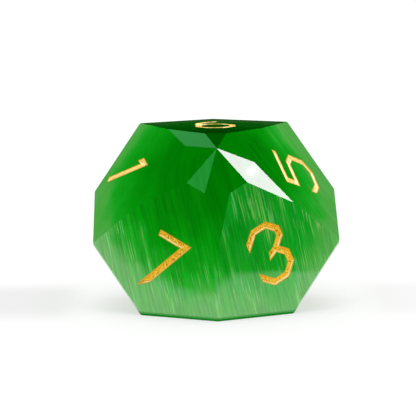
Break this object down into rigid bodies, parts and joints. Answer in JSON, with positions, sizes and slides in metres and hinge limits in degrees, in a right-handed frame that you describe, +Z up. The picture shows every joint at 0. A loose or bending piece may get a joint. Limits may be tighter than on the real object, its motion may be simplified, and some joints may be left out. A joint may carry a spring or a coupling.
{
  "type": "polyhedral die",
  "caption": "Ten-sided trapezohedral die of green fibre-optic glass with gem-cut pole facets and engraved gold numerals.",
  "frame": {"origin": "centre of the die's bounding box at table level, below the middle of the die as it lies on its 0 face", "axes": "+Z up, square to the 0 face that it lies on; X along the longest extent, across the girdle; the pole of the odd numerals looks towards -Y and upwards"},
  "size_m": [0.0218, 0.0178, 0.016],
  "materials": {
    "glass_body": "polished green fibre-optic glass, cloudy, with fine parallel fibres",
    "gold_paint": "grainy gold metallic paint"
  },
  "bodies": {
    "root": {"die_body": "glass_body", "numeral_0": "gold_paint", "numeral_1": "gold_paint", "numeral_2": "gold_paint", "numeral_3": "gold_paint", "numeral_4": "gold_paint", "numeral_5": "gold_paint", "numeral_6": "gold_paint", "numeral_7": "gold_paint", "numeral_8": "gold_paint", "numeral_9": "gold_paint"}
  },
  "joints": []
}
